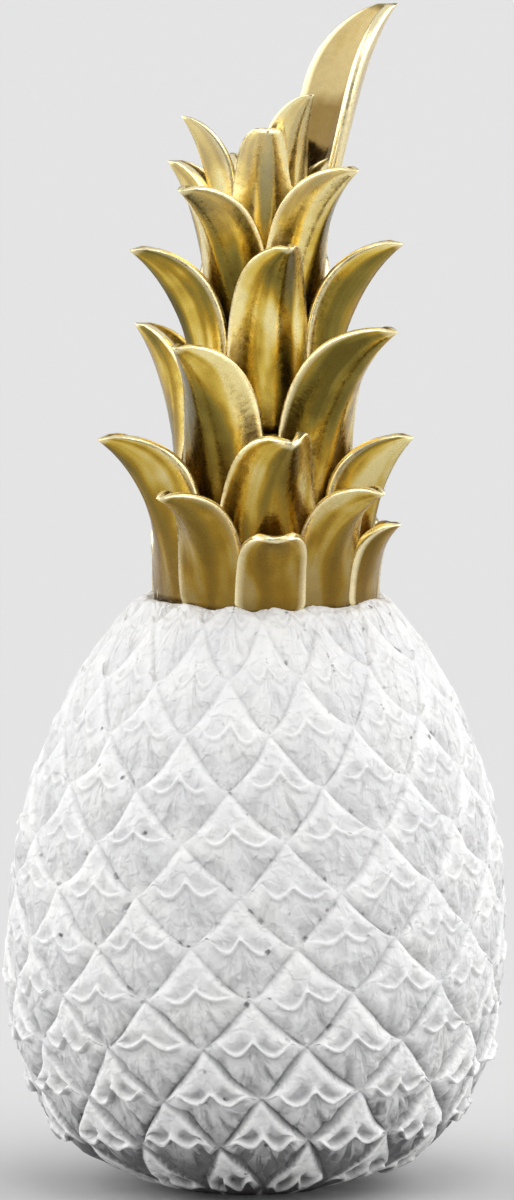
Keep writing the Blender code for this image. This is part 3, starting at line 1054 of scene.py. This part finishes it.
def white_material():
    """Matte white cast resin: chalky and lumpy, with painted shade in the recesses and in streaks on the
    bellies, and painted highlights on the lips and ridges.
    """
    material, tree, shader = new_material("white_resin")
    place = tree.place()
    streaks, belly, edge = streak_place(tree)
    brush = tree.noise(streaks, *BRUSH_NOISE)
    plaster = tree.noise(place, *PLASTER_NOISE)
    grain = tree.noise(place, *GRAIN_NOISE)
    # Painted shade in the specks along the grooves and in the bubble pits
    spots = tree.spread(tree.noise(place, *SPOT_NOISE), *SPOT_RANGE)
    spots = tree.times(spots, tree.spread(edge, *SPOT_EDGE))
    pits = tree.plus(bubble_pits(tree, place), spots)
    chalk = tree.ramp(tree.noise(place, *BLOTCH_NOISE), CHALK_TONES)
    # Painted highlight on the lips and ridge crests
    chalk = tree.mix(tree.attribute("wear"), chalk, HIGHLIGHT_WHITE)
    # Painted shade from the mesh, mixed towards dark grey in the base colour
    dirt = tree.spread(tree.attribute("dirt"), *SHADE_RANGE)
    # Painted shade: the belly streaks and the cracks are darkened more towards the foot
    strength = tree.ramp(tree.split(place)["Z"], SHADE_BY_HEIGHT)
    folds = tree.times(tree.spread(brush, *BRUSH_RANGE), belly)
    cracks = tree.spread(plaster, *CRACK_RANGE)
    streak_shade = tree.plus(tree.times(folds, BRUSH_SHARE), tree.times(cracks, CRACK_SHARE))
    all_shade = tree.plus(dirt, tree.times(streak_shade, strength))
    all_shade = tree.plus(all_shade, tree.times(pits, PIT_SHADE_SHARE))
    all_shade = tree.calculate("MINIMUM", all_shade, MOST_SHADE)
    tree.feed(shader["Base Color"], tree.mix(all_shade, chalk, SHADE_GREY))
    tree.feed(shader["Roughness"], tree.spread(grain, *RESIN_ROUGHNESS))
    relief = tree.plus(tree.times(brush, tree.times(belly, BRUSH_BUMP)), plaster)
    relief = tree.plus(relief, tree.times(grain, GRAIN_BUMP))
    relief = tree.minus(relief, tree.times(pits, PIT_BUMP))
    tree.feed(shader["Normal"], tree.bump(relief, 1.0, WHITE_BUMP * MM))
    return material


def gold_material():
    """Antique gold: bands along each leaf, partly burnished and partly painted reflection and shade, with
    painted shade along the middle, low down and at the roots, and wear and painted highlight along the rims.
    """
    material, tree, shader = new_material("antique_gold")
    place = tree.place()
    height = tree.split(place)["Z"]
    leaf = tree.attribute("place", "Vector")
    across, along, _ = tree.split(leaf)
    inside = tree.attribute("inside")
    stretched = tree.vectors("MULTIPLY", leaf, {1: BAND_STRETCH})
    bands = tree.noise(stretched, *BAND_NOISE)
    patches = tree.noise(place, *PATCH_NOISE)
    speckle = tree.noise(place, *SPECKLE_NOISE)
    polish = tree.noise(place, *POLISH_NOISE)
    # Painted shade: a dark band along the middle of each leaf
    middle = tree.spread(tree.noise(stretched, *WANDER_NOISE), *WANDER_RANGE)
    from_middle = tree.calculate("ABSOLUTE", tree.minus(across, middle))
    # Bands of tone, partly burnished and partly painted reflection and shade
    tone = tree.plus(tree.times(bands, BAND_SHARE), tree.times(patches, PATCH_SHARE))
    tone = tree.minus(tone, tree.spread(from_middle, *MIDDLE_SHADE_RANGE))
    gold = tree.ramp(tone, BAND_AND_REFLECTION_TONES)
    # Painted highlight: the gold is paler high up
    gold = tree.mix(tree.spread(height, *PALE_HIGHLIGHT_RANGE), gold, PALE_HIGHLIGHT_GOLD)
    gold = tree.mix(tree.times(inside, INNER_SHARE), gold, INNER_GOLD)
    gold = tree.mix(tree.spread(speckle, *SPECKLE_RANGE), gold, PATINA_AND_SHADE)
    # Painted shade: the gold is darker low down
    gold = tree.mix(tree.spread(height, *LOW_SHADE_RANGE), gold, LOW_SHADE_GOLD)
    # Painted shade at the roots of the leaves, and deeper inside the crown on their inner faces
    ragged = tree.plus(along, tree.times(patches, ROOT_RAGGED))
    inner_root_shade = tree.times(inside, tree.spread(ragged, *INNER_ROOT_SHADE_RANGE))
    root = tree.calculate("MAXIMUM", tree.spread(along, *ROOT_SHADE_RANGE), inner_root_shade)
    gold = tree.mix(root, gold, PATINA_AND_SHADE)
    # Wear and painted highlight along the rims and tips
    worn_highlight = tree.times(tree.attribute("rim"), tree.spread(speckle, *WORN_HIGHLIGHT_RANGE))
    tree.feed(shader["Base Color"], tree.mix(worn_highlight, gold, WORN_HIGHLIGHT_GOLD))
    tree.feed(shader["Metallic"], METALLIC)
    tree.feed(shader["Roughness"], tree.spread(polish, *POLISH_RANGE))
    relief = tree.plus(polish, tree.times(speckle, SPECKLE_BUMP))
    relief = tree.plus(relief, tree.times(patches, PATCH_BUMP))
    tree.feed(shader["Normal"], tree.bump(relief, GOLD_BUMP_STRENGTH, GOLD_BUMP * MM))
    return material


def make_floor():
    """Lay a plain pale floor."""
    mesh = bmesh.new()
    bmesh.ops.create_circle(mesh, cap_ends=True, segments=FLOOR_SIDES, radius=FLOOR_RADIUS)
    data = bpy.data.meshes.new("floor")
    mesh.to_mesh(data)
    mesh.free()
    floor = bpy.data.objects.new("floor", data)
    bpy.context.scene.collection.objects.link(floor)
    floor.location.z = FLOOR_HEIGHT
    material, tree, shader = new_material("floor_paper")
    tree.feed(shader["Base Color"], (FLOOR_GREY, FLOOR_GREY, FLOOR_GREY))
    tree.feed(shader["Roughness"], FLOOR_ROUGHNESS)
    data.materials.append(material)


def make_light():
    """Set soft studio light: a key from above, and a room that is bright overhead and at the sides."""
    sun = bpy.data.lights.new("key", "SUN")
    sun.energy = KEY_STRENGTH
    sun.angle = math.radians(KEY_SOFTNESS)
    key = bpy.data.objects.new("key", sun)
    bpy.context.scene.collection.objects.link(key)
    key.rotation_mode = "QUATERNION"
    key.rotation_quaternion = Vector(KEY_FROM).to_track_quat("Z", "Y")
    world = bpy.data.worlds.new("studio")
    world.use_nodes = True
    tree = NodeTree(world.node_tree)
    way = tree.split(tree.place("Generated"))
    across = tree.spread(way["X"], -1.0, 1.0, 0.0, 1.0)
    room = tree.mix(1.0, tree.ramp(across, SIDE_LIGHT), tree.ramp(way["Z"], TOP_LIGHT), "ADD")
    background = tree.nodes["Background"].inputs
    tree.feed(background["Color"], room)
    tree.feed(background["Strength"], ROOM_STRENGTH)
    bpy.context.scene.world = world
    bpy.context.scene.view_settings.view_transform = "Standard"


def make_camera():
    """Set the camera where the photograph was taken from."""
    elevation = math.radians(CAMERA_ELEVATION)
    back = Vector((0.0, -math.cos(elevation), math.sin(elevation)))
    data = bpy.data.cameras.new("camera")
    data.sensor_width = SENSOR
    data.lens = SENSOR * CAMERA_DISTANCE / VIEW_HEIGHT
    data.clip_end = VIEW_END
    camera = bpy.data.objects.new("camera", data)
    bpy.context.scene.collection.objects.link(camera)
    camera.location = Vector(AIM) + back * CAMERA_DISTANCE
    camera.rotation_mode = "QUATERNION"
    camera.rotation_quaternion = (-back).to_track_quat("-Z", "Y")
    bpy.context.scene.camera = camera


def main():
    """Dress the frame."""
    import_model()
    make_fruit()
    make_crown()
    make_floor()
    make_light()
    make_camera()


main()
